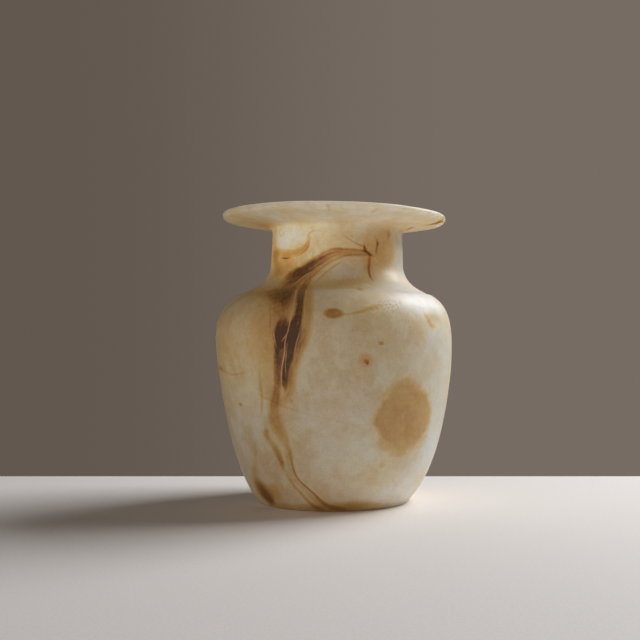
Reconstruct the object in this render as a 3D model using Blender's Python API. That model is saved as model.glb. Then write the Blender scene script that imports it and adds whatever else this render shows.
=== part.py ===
"""Alabaster vase: a wide flat rim, a short neck, high shoulders and a body that narrows to a small flat foot.

One piece of stone, hollow and open at the top, made in metres with +Z up. The origin is on the vase's upright
axis, in the plane of the underside, which is the surface that the vase stands on. -Y is the front of the
photograph, and +X is the side turned to the light.
"""
import math

import bmesh
import bpy

# Heights of the stretches, stacked from the underside up. With the rim's tilt the front comes to 150 mm
BELLY_HEIGHT = 0.0855        # underside to the widest place
SHOULDER_RISE = 0.0245       # on to where the shoulder stops swelling and starts to sweep up
NECK_SWEEP_RISE = 0.0139     # on to where the neck stands upright
NECK_LENGTH = 0.0180         # on to the rim's underside
RIM_ROOT = 0.0076            # thickness of the rim where it leaves the neck

# Radii, to the outside of the stone
FOOT_RADIUS = 0.0392
BELLY_RADIUS = 0.0620
NECK_RADIUS = 0.0348
NECK_TAPER = 0.0007          # how much narrower the neck is under the rim
RIM_RADIUS = 0.0586

# The roundness of the outline. A reach is the length of a curve's handle as a share of the stretch it shapes
FOOT_FLARE = 46.1            # steepness of the wall as it leaves the foot, in degrees above level
FOOT_REACH = 0.30
BELLY_REACH_DOWN = 0.136
BELLY_REACH_UP = 0.52
SHOULDER_SHARE = 0.412       # where between the neck's radius and the body's the shoulder turns
SHOULDER_SLOPE = 23.1        # degrees above level
SHOULDER_REACH_OUT = 0.317
SHOULDER_REACH_IN = 0.433
NECK_REACH = 0.387

# The rim and the worn edges
RIM_LIP = 0.0034             # thickness of the rim at its edge
LIP_ROUND = 0.47             # rounding of that edge, as a share of its thickness
RIM_ROOT_ROUND = 0.0026      # between the neck and the rim's underside
RIM_DISH = 0.0008            # how much the rim's top falls from the lip to the mouth
MOUTH_EDGE = 0.0020
FOOT_EDGE = 0.0008

# The hollow
NECK_WALL = 0.0051
BODY_WALL = 0.0060
FLOOR = 0.0095
FLOOR_ROUND = 0.0140         # between the floor and the wall

# What the hand left out of true. Each pair of LEAN is a share of the height and how far the middle of the
# vase stands to the +X side there, read from both sides of the outline
LEAN = (
    (0.000, -0.0011),
    (0.067, -0.0005),
    (0.130, 0.0000),
    (0.240, 0.0001),
    (0.450, -0.0002),
    (0.610, -0.0010),
    (0.720, -0.0001),
    (0.800, 0.0007),
    (0.910, 0.0011),
)
RIM_SHIFT = -0.00065         # the same for the rim's edge
RIM_TILT_SIDE = 0.95         # degrees, low on the +X side
RIM_TILT_BACK = 0.8          # degrees, low at the back
OVAL = 0.0003                # how far the body is from round, widest along its diagonals

# How finely the round faces are cut
SIDES = 64
BODY_STEPS = 15
SHOULDER_STEPS = 8
SWEEP_STEPS = 7
ROUND_STEPS = 4
FLOOR_STEPS = 5

STONE_COLOUR = (0.60, 0.50, 0.36, 1.0)
STONE_ROUGHNESS = 0.45

CIRCLE_HANDLE = 0.55         # handle of a curve that turns a quarter circle, as a share of its radius
MERGE = 0.00001
SHARP_EDGE = math.radians(50)

# Worked out from the sizes above
SHOULDER_HEIGHT = BELLY_HEIGHT + SHOULDER_RISE
NECK_FOOT_HEIGHT = SHOULDER_HEIGHT + NECK_SWEEP_RISE
NECK_TOP_HEIGHT = NECK_FOOT_HEIGHT + NECK_LENGTH
HEIGHT = NECK_TOP_HEIGHT + RIM_ROOT
SHOULDER_RADIUS = NECK_RADIUS + SHOULDER_SHARE * (BELLY_RADIUS - NECK_RADIUS)
NECK_TOP_RADIUS = NECK_RADIUS - NECK_TAPER
MOUTH_RADIUS = NECK_TOP_RADIUS - NECK_WALL


def clear_scene():
    for old in list(bpy.data.objects):
        bpy.data.objects.remove(old, do_unlink=True)


def moved(point, degrees, length):
    """The point at this length from another, in a direction given in degrees above level."""
    angle = math.radians(degrees)
    return point[0] + length * math.cos(angle), point[1] + length * math.sin(angle)


def between(start, end, share):
    """The point at this share of the way from one point to another."""
    return tuple(a + (b - a) * share for a, b in zip(start, end))


def smooth_share(value, low, high):
    """0 below low, 1 above high, and an even turn from one to the other."""
    share = min(max((value - low) / (high - low), 0.0), 1.0)
    return share * share * (3 - 2 * share)


def curve(start, start_handle, end_handle, end, steps):
    """Points of a smooth stretch of outline, without its first point."""
    corners = (start, start_handle, end_handle, end)
    points = []
    for step in range(1, steps + 1):
        t = step / steps
        u = 1 - t
        weights = (u ** 3, 3 * u * u * t, 3 * u * t * t, t ** 3)
        points.append(tuple(sum(w * corner[i] for w, corner in zip(weights, corners)) for i in (0, 1)))
    return points


def rounded(before, corner, after, radius, steps=ROUND_STEPS):
    """The points that round off a corner between two straight lines."""
    start = between(corner, before, radius / math.dist(corner, before))
    end = between(corner, after, radius / math.dist(corner, after))
    start_handle = between(start, corner, CIRCLE_HANDLE)
    end_handle = between(end, corner, CIRCLE_HANDLE)
    return [start] + curve(start, start_handle, end_handle, end, steps)


def body_line():
    """The outside from the foot up to the foot of the neck, as (radius, height) pairs."""
    foot = (FOOT_RADIUS, 0.0)
    belly = (BELLY_RADIUS, BELLY_HEIGHT)
    shoulder = (SHOULDER_RADIUS, SHOULDER_HEIGHT)
    neck = (NECK_RADIUS, NECK_FOOT_HEIGHT)

    wall = math.dist(foot, belly)
    turn = math.dist(belly, shoulder)
    sweep = math.dist(shoulder, neck)
    line = [foot]
    line += curve(
        foot,
        moved(foot, FOOT_FLARE, FOOT_REACH * wall),
        moved(belly, -90, BELLY_REACH_DOWN * wall),
        belly,
        BODY_STEPS,
    )
    line += curve(
        belly,
        moved(belly, 90, BELLY_REACH_UP * turn),
        moved(shoulder, -SHOULDER_SLOPE, SHOULDER_REACH_OUT * turn),
        shoulder,
        SHOULDER_STEPS,
    )
    line += curve(
        shoulder,
        moved(shoulder, 180 - SHOULDER_SLOPE, SHOULDER_REACH_IN * sweep),
        moved(neck, -90, NECK_REACH * sweep),
        neck,
        SWEEP_STEPS,
    )
    return line


def rim_line():
    """On from the neck, around the lip and over the rim's top into the mouth."""
    neck_foot = (NECK_RADIUS, NECK_FOOT_HEIGHT)
    root = (NECK_TOP_RADIUS, NECK_TOP_HEIGHT)
    lip_under = (RIM_RADIUS, HEIGHT - RIM_LIP)
    lip_top = (RIM_RADIUS, HEIGHT)
    mouth = (MOUTH_RADIUS, HEIGHT - RIM_DISH)
    bore = (MOUTH_RADIUS, NECK_TOP_HEIGHT)

    lip_round = LIP_ROUND * RIM_LIP
    line = [between(neck_foot, root, 0.5)]
    line += rounded(neck_foot, root, lip_under, RIM_ROOT_ROUND)
    line += rounded(root, lip_under, lip_top, lip_round)
    line += rounded(lip_under, lip_top, mouth, lip_round)
    line += rounded(lip_top, mouth, bore, MOUTH_EDGE)
    return line


def hollow_line(outside):
    """The inside from the mouth down to the floor, set in from the outside by the wall."""
    line = []
    for before, point, after in zip(outside, outside[1:], outside[2:]):
        length = math.dist(before, after)
        outward = ((after[1] - before[1]) / length, (before[0] - after[0]) / length)
        neck_share = smooth_share(point[1], SHOULDER_HEIGHT, NECK_FOOT_HEIGHT)
        wall = BODY_WALL + (NECK_WALL - BODY_WALL) * neck_share
        line.append((point[0] - wall * outward[0], point[1] - wall * outward[1]))
    line.reverse()
    every_second = line[::2]
    line = [point for point in every_second if point[1] > FLOOR + FLOOR_ROUND]

    low = line[-1]
    drop = low[1] - FLOOR
    run = low[0] - line[-2][0]
    fall = line[-2][1] - low[1]
    corner = (low[0] + drop * run / fall, FLOOR)
    floor_edge = (corner[0] - drop, FLOOR)
    line += curve(
        low,
        between(low, corner, CIRCLE_HANDLE),
        between(floor_edge, corner, CIRCLE_HANDLE),
        floor_edge,
        FLOOR_STEPS,
    )
    return [(MOUTH_RADIUS, NECK_TOP_HEIGHT), (MOUTH_RADIUS, NECK_FOOT_HEIGHT)] + line


def whole_line():
    """The closed outline of half the vase, from the middle of the underside to the middle of the floor."""
    outside = body_line()
    underside = [(0.0, 0.0)] + rounded((0.0, 0.0), outside[0], outside[1], FOOT_EDGE, 2)
    return underside + outside[1:] + rim_line() + hollow_line(outside) + [(0.0, FLOOR)]


def lean_at(height):
    """How far the middle of the vase stands to the +X side at this height."""
    share = height / HEIGHT
    shift = LEAN[0][1]
    for (low, before), (high, after) in zip(LEAN, LEAN[1:]):
        shift += (after - before) * smooth_share(share, low, high)
    return shift


def carved(point):
    """Moves a point of the true round form to where the hand left it."""
    x, y, z = point
    radius = math.hypot(x, y)
    if radius > 0:
        swell = OVAL * math.sin(2 * math.atan2(y, x)) * radius / BELLY_RADIUS
        x += swell * x / radius
        y += swell * y / radius
    shift = lean_at(z)
    if z > NECK_TOP_HEIGHT:
        rim_share = max(radius - NECK_TOP_RADIUS, 0.0) / (RIM_RADIUS - NECK_TOP_RADIUS)
        shift += (RIM_SHIFT - shift) * rim_share
    fall = x * math.tan(math.radians(RIM_TILT_SIDE)) + y * math.tan(math.radians(RIM_TILT_BACK))
    return x + shift, y, z - fall * smooth_share(z, NECK_FOOT_HEIGHT, NECK_TOP_HEIGHT)


def stone_material():
    material = bpy.data.materials.new("alabaster")
    material.use_nodes = True
    shader = material.node_tree.nodes["Principled BSDF"]
    shader.inputs["Base Color"].default_value = STONE_COLOUR
    shader.inputs["Roughness"].default_value = STONE_ROUGHNESS
    shader.inputs["Metallic"].default_value = 0.0
    material.diffuse_color = STONE_COLOUR
    return material


def make_vase():
    """The outline is spun around the axis and then put out of true by hand."""
    build = bmesh.new()
    verts = [build.verts.new((radius, 0.0, height)) for radius, height in whole_line()]
    edges = [build.edges.new(pair) for pair in zip(verts, verts[1:])]
    bmesh.ops.spin(
        build,
        geom=verts + edges,
        cent=(0, 0, 0),
        axis=(0, 0, 1),
        angle=math.tau,
        steps=SIDES,
        use_merge=True,
    )
    bmesh.ops.remove_doubles(build, verts=build.verts, dist=MERGE)
    for vert in build.verts:
        vert.co = carved(vert.co)
    bmesh.ops.recalc_face_normals(build, faces=build.faces)

    mesh = bpy.data.meshes.new("vase")
    build.to_mesh(mesh)
    build.free()
    mesh.shade_smooth()
    mesh.set_sharp_from_angle(angle=SHARP_EDGE)
    mesh.materials.append(stone_material())
    vase = bpy.data.objects.new("vase", mesh)
    bpy.context.scene.collection.objects.link(vase)
    return vase


clear_scene()
make_vase()
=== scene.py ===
# %% [markdown]
# # A carved alabaster vase
# The vase is one block of alabaster, turned and hollowed by hand: a swelling body, a short neck and
# a wide flat rim. The construction model already holds its true form and walls. This lesson gives it
# the stone: the marks of the tool, worn edges, brown iron veins, soft stains, and the way that thin
# alabaster lets light through.
#
# Everything starts from the packed model. The finished stone must stay inside it.

# %% Load the construction model
import math

import bmesh
import bpy
import numpy as np
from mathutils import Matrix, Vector
from mathutils.bvhtree import BVHTree


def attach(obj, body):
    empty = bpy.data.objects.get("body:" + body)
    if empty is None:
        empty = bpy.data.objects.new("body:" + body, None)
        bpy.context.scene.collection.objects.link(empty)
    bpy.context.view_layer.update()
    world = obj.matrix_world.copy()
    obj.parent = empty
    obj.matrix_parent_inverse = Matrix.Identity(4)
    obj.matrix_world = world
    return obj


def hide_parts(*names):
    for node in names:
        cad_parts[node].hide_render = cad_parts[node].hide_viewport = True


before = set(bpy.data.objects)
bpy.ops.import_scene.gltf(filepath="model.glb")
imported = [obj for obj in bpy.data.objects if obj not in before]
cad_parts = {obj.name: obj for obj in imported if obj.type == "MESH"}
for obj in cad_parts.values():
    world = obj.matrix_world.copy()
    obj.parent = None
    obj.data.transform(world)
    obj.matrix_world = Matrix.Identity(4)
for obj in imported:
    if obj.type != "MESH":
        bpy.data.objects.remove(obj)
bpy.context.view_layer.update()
MM = 0.001

# %% [markdown]
# ## One piece of stone
# Nothing is joined on this vase, so it is one mesh. It could be spun again from an outline, but a
# second outline would never agree exactly with the first. A copy of the construction mesh agrees by
# itself. The copy comes as loose triangles: they are welded, paired into four-sided faces, and then
# rounded with a Subdivision Surface, which turns 64 flat sides into a smooth wall.

# %% Copy, weld and round the vase
ROUNDING = 2
WELD = 0.01 * MM


def only(piece):
    """Selects one piece and nothing else, so that an operator acts on it alone."""
    bpy.ops.object.select_all(action="DESELECT")
    piece.select_set(True)
    bpy.context.view_layer.objects.active = piece


def apply_modifier(piece, kind, **settings):
    """Adds a modifier with these settings and applies it to the mesh."""
    only(piece)
    modifier = piece.modifiers.new(kind.title(), kind)
    for name, value in settings.items():
        setattr(modifier, name, value)
    bpy.ops.object.modifier_apply(modifier=modifier.name)


vase = bpy.data.objects.new("carved_vase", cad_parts["vase"].data.copy())
bpy.context.scene.collection.objects.link(vase)
vase.data.name = "carved_vase"
vase.data.materials.clear()
only(vase)
bpy.ops.object.mode_set(mode="EDIT")
bpy.ops.mesh.select_all(action="SELECT")
bpy.ops.mesh.remove_doubles(threshold=WELD)
bpy.ops.mesh.tris_convert_to_quads()
bpy.ops.object.mode_set(mode="OBJECT")
apply_modifier(vase, "SUBSURF", levels=ROUNDING, render_levels=ROUNDING)
bpy.ops.object.shade_smooth()
print("faces after rounding:", len(vase.data.polygons))

# %% [markdown]
# ## Finding a place on the stone
# A maker speaks of a mark as so far round the vase and so far up. Two helpers turn that into a point
# of the mesh. An angle of 0 is the front, and it grows towards the right. The first helper looks from
# outside straight at the axis. The second looks up at the underside of the rim, where a radius says
# more than a height.

# %% Find a place by angle and height, or under the rim
skin = BVHTree.FromObject(vase, bpy.context.evaluated_depsgraph_get())
FAR_OUTSIDE = 120 * MM
UNDER_RIM = 134 * MM


def away_from_axis(angle):
    """The level direction that points out of the vase at this angle."""
    turn = math.radians(angle)
    return Vector((math.sin(turn), -math.cos(turn), 0.0))


def on_the_side(angle, height):
    """The point and normal of the outside at an angle in degrees and a height in millimetres."""
    out = away_from_axis(angle)
    start = out * FAR_OUTSIDE + Vector((0.0, 0.0, height * MM))
    point, normal = skin.ray_cast(start, -out)[:2]
    return point, normal


def under_the_rim(angle, radius):
    """The point and normal of the rim's underside at an angle and a radius in millimetres."""
    start = away_from_axis(angle) * radius * MM + Vector((0.0, 0.0, UNDER_RIM))
    point, normal = skin.ray_cast(start, Vector((0.0, 0.0, 1.0)))[:2]
    return point, normal


print("front of the belly, mm:", [round(v / MM, 1) for v in on_the_side(0, 85)[0]])

# %% [markdown]
# ## The carver's hand
# A wall cut by hand is never quite even. A Displace modifier with a broad cloud texture pushes the
# surface a few tenths of a millimetre, always inwards, so the vase doesn't outgrow its model. Only
# the outside takes part, through a vertex group.

# %% Uneven hand-cut surface
UNEVEN = 0.45 * MM
UNEVEN_SIZE = 24 * MM
UNEVEN_LEVEL = 0.85
LEAST_OUTWARDS = 0.05
RIM_BOTTOM = 140 * MM
FOOT_TOP = 1.5 * MM

points = np.empty(len(vase.data.vertices) * 3)
vase.data.vertices.foreach_get("co", points)
points = points.reshape(-1, 3)
normals = np.empty(len(vase.data.vertices) * 3)
vase.data.vertices.foreach_get("normal", normals)
normals = normals.reshape(-1, 3)
radii = np.hypot(points[:, 0], points[:, 1])
outwards = (normals[:, :2] * points[:, :2]).sum(axis=1) / np.maximum(radii, 1e-6)
outside = (outwards > LEAST_OUTWARDS) | (points[:, 2] > RIM_BOTTOM)
outside &= points[:, 2] > FOOT_TOP
hand_cut = vase.vertex_groups.new(name="hand_cut")
hand_cut.add(np.flatnonzero(outside).tolist(), 1.0, "REPLACE")
waves = bpy.data.textures.new("hand_cut_clouds", "CLOUDS")
waves.noise_scale = UNEVEN_SIZE
waves.noise_depth = 2
apply_modifier(
    vase,
    "DISPLACE",
    texture=waves,
    texture_coords="LOCAL",
    strength=UNEVEN,
    mid_level=UNEVEN_LEVEL,
    vertex_group=hand_cut.name,
)
print("hand-cut points:", int(outside.sum()), "of", len(points))

# %% [markdown]
# ## The turning step on the shoulder
# Where the lathe tool changed direction, the shoulder keeps a low step: above it the stone lies seven
# tenths of a millimetre deeper. A vertex group gives each point its share of the push, full just above
# the step and fading towards the neck, and a second Displace modifier presses by that share.

# %% Press the shoulder above the step
STEP_HEIGHT = 108.2
STEP_SLOPE = 0.014
STEP_DEPTH = 0.7 * MM
STEP_RISE = 1.2
STEP_FADE = 9.0
LEVELS = 10

above_step = points[:, 2] / MM - STEP_HEIGHT + STEP_SLOPE * points[:, 0] / MM
share = np.clip(above_step / STEP_RISE, 0.0, 1.0) * np.clip(1.0 - above_step / STEP_FADE, 0.0, 1.0)
share[~outside] = 0.0
turned_step = vase.vertex_groups.new(name="turned_step")
for level in range(1, LEVELS + 1):
    chosen = np.flatnonzero(np.rint(share * LEVELS) == level)
    turned_step.add(chosen.tolist(), level / LEVELS, "REPLACE")
apply_modifier(vase, "DISPLACE", strength=-STEP_DEPTH, mid_level=0.0, vertex_group=turned_step.name)
print("points above the step:", int((share > 0).sum()))

# %% [markdown]
# ## Knocks and worn edges
# Two thousand years leave a shallow chip on the right shoulder, small nicks along the thin lip and a
# few flat spots at the foot. Each is one push with proportional editing: the nearest point moves
# inwards and its neighbours follow with a soft fall-off.

# %% Press the chip, the nicks and the flat spots
CHIP_DEPTH = 0.55
NICK_DEPTH = 0.35


def press(mesh, place, inwards, reach, depth):
    """Pushes the surface inwards at one place. Reach and depth are in millimetres."""
    nearest = min(mesh.verts, key=lambda v: (v.co - place).length_squared)
    nearest.select = True
    mesh.select_flush_mode()
    bmesh.update_edit_mesh(vase.data)
    bpy.ops.transform.translate(
        value=inwards * depth * MM,
        use_proportional_edit=True,
        proportional_edit_falloff="SMOOTH",
        proportional_size=reach * MM,
        use_proportional_connected=True,
    )
    nearest.select = False


# Each chip: angle, height, reach and depth
CHIPS = (
    (52.5, 94.5, 4.5, CHIP_DEPTH),
    (57.0, 92.5, 5.0, CHIP_DEPTH),
    (60.0, 94.5, 4.5, CHIP_DEPTH * 0.8),
    (43.5, 78.1, 2.4, CHIP_DEPTH * 0.5),
    (-72.5, 69.9, 3.2, NICK_DEPTH),
    (31.0, 14.0, 3.5, NICK_DEPTH),
    (49.0, 8.0, 4.0, NICK_DEPTH),
    (-61.0, 3.5, 5.0, NICK_DEPTH),
    (-18.0, 1.2, 4.0, NICK_DEPTH),
)
# Each nick on the lip: angle, reach and depth
NICKS = (
    (-64, 3.0, 0.3), (-31, 2.2, 0.25), (8, 2.6, 0.3), (38, 2.2, 0.3),
    (66, 3.2, 0.4), (121, 3.0, 0.5), (197, 3.4, 0.4),
)
LIP_HEIGHT = 147.0

only(vase)
bpy.ops.object.mode_set(mode="EDIT")
bpy.ops.mesh.select_mode(type="VERT")
bpy.ops.mesh.select_all(action="DESELECT")
edited = bmesh.from_edit_mesh(vase.data)
for angle, height, reach, depth in CHIPS:
    place, normal = on_the_side(angle, height)
    press(edited, place, -normal, reach, depth)
for angle, reach, depth in NICKS:
    place = on_the_side(angle, LIP_HEIGHT)[0]
    press(edited, place, -away_from_axis(angle), reach, depth)
bpy.ops.object.mode_set(mode="OBJECT")
print("pressed places:", len(CHIPS) + len(NICKS))

# %% [markdown]
# ## Brush strokes for the veins
# The veins are the face of this vase, and each has its own course, so noise alone can't draw them.
# They could be painted on an image, but an image has pixels and seams. Here each vein is a brush
# stroke given by a few places: angle, height, half width in millimetres and strength. A smooth curve
# runs through them, and every point of the stone near it learns three numbers: how far across the
# stroke it lies, in half widths, how far along, and how strong the stroke is there. The material
# turns these numbers into colour, so that a thin line stays crisp between the mesh points.
#
# The stroke is followed through the wall too, since a vein in real stone goes right through.

# %% Lay a stroke on the stone
STROKE_STEP = 0.7 * MM
WALL = 7 * MM
UNTOUCHED = 8.0
THINNEST = 0.1 * MM
# How far out a stroke is still written, and over what width it fades: in half widths, and a margin
STROKE_REACH = 2.2
REACH_MARGIN = 1.5 * MM
FADE_WIDTH = 0.6
FADE_MARGIN = 1.0 * MM
DEPTH_WEIGHT = 0.5
# Looks of the strokes: softness, wobble, and how strongly streaks along the stroke break it up
SOFT = (0.75, 0.5, 0.0)
GLOW = (0.95, 0.4, 0.0)
STREAKY = (0.6, 0.6, 1.1)
FADED = (0.9, 0.7, 1.2)
DARK = (0.45, 0.6, 1.0)
BED = (0.8, 0.6, 0.8)
FILL = (0.6, 0.6, 1.2)
LINE = (0.6, 0.5, 0.0)
looks = {}


def smooth_course(rows):
    """Rows between the given ones, on a Catmull-Rom curve through them, about STROKE_STEP apart."""
    rows = np.array(rows)
    padded = np.vstack([2 * rows[0] - rows[1], rows, 2 * rows[-1] - rows[-2]])
    course = []
    for a, b, c, d in zip(padded, padded[1:], padded[2:], padded[3:]):
        steps = max(2, int(np.linalg.norm(c[:3] - b[:3]) / STROKE_STEP))
        for t in np.arange(steps) / steps:
            bend = 2 * a - 5 * b + 4 * c - d + t * (3 * (b - c) + d - a)
            course.append(b + 0.5 * t * (c - a + t * bend))
    course.append(rows[-1])
    return np.array(course)


def lay_stroke(name, places, find=on_the_side):
    """Writes one stroke to the mesh as the vector attribute NAME: across, along, strength."""
    rows = []
    for angle, level, half_width, strength in places:
        point, normal = find(angle, level)
        rows.append((*point, *normal, half_width * MM, strength))
    course = smooth_course(rows)
    widest = course[:, 6].max()
    window = STROKE_REACH * widest + REACH_MARGIN + WALL
    above_low = (points > course[:, :3].min(axis=0) - window).all(axis=1)
    below_high = (points < course[:, :3].max(axis=0) + window).all(axis=1)
    near = np.flatnonzero(above_low & below_high)
    best = np.full(len(near), np.inf)
    across = np.full(len(near), UNTOUCHED)
    along = np.zeros(len(near))
    strength = np.zeros(len(near))
    gone = 0.0
    for start, end in zip(course, course[1:]):
        step = end[:3] - start[:3]
        length = np.linalg.norm(step)
        offset = points[near] - start[:3]
        share = np.clip(offset @ step / length**2, 0.0, 1.0)
        offset -= share[:, None] * step
        normal = start[3:6] / np.linalg.norm(start[3:6])
        side = np.cross(normal, step / length)
        depth = offset @ normal
        flat = np.sqrt(np.maximum((offset**2).sum(axis=1) - depth**2, 0.0))
        reach = np.hypot(flat, depth * DEPTH_WEIGHT)
        half_width = np.maximum(start[6] + share * (end[6] - start[6]), THINNEST)
        close = (reach < best) & (np.abs(depth) < WALL)
        inside = STROKE_REACH * half_width + REACH_MARGIN - flat
        fade = np.clip(inside / (FADE_WIDTH * half_width + FADE_MARGIN), 0.0, 1.0)
        best[close] = reach[close]
        across[close] = (np.copysign(flat, offset @ side) / half_width)[close]
        along[close] = (gone + share * length)[close] / MM
        strength[close] = ((start[7] + share * (end[7] - start[7])) * fade)[close]
        gone += length
    values = np.zeros((len(points), 3))
    values[:, 0] = UNTOUCHED
    values[near, 0] = np.clip(across, -UNTOUCHED, UNTOUCHED)
    values[near, 1] = along
    values[near, 2] = np.maximum(strength, 0.0)
    layer = vase.data.attributes.new(name, "FLOAT_VECTOR", "POINT")
    layer.data.foreach_set("vector", values.ravel())
    print(name, "covers", int((values[:, 2] > 0).sum()), "points")


def lay_all(strokes, find=on_the_side):
    """Lays every stroke of a table and keeps its look for the material."""
    for name, (look, *places) in strokes.items():
        lay_stroke(name, places, find)
        looks[name] = look


vase.data.vertices.foreach_get("co", points.ravel())
print("points ready for strokes:", len(points))

# %% [markdown]
# ## The great vein
# It comes out of the neck as an arch, runs down to the left, spreads into a dark mass on the shoulder
# and hangs down the body as two dark tongues with a pale crystal seam between them. Each layer is a
# stroke of its own: the body of the vein, its darker core, the thin lines that follow its edge, the
# amber that has bled out on both sides, and the pale seams, which later take the brown away again.

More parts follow.
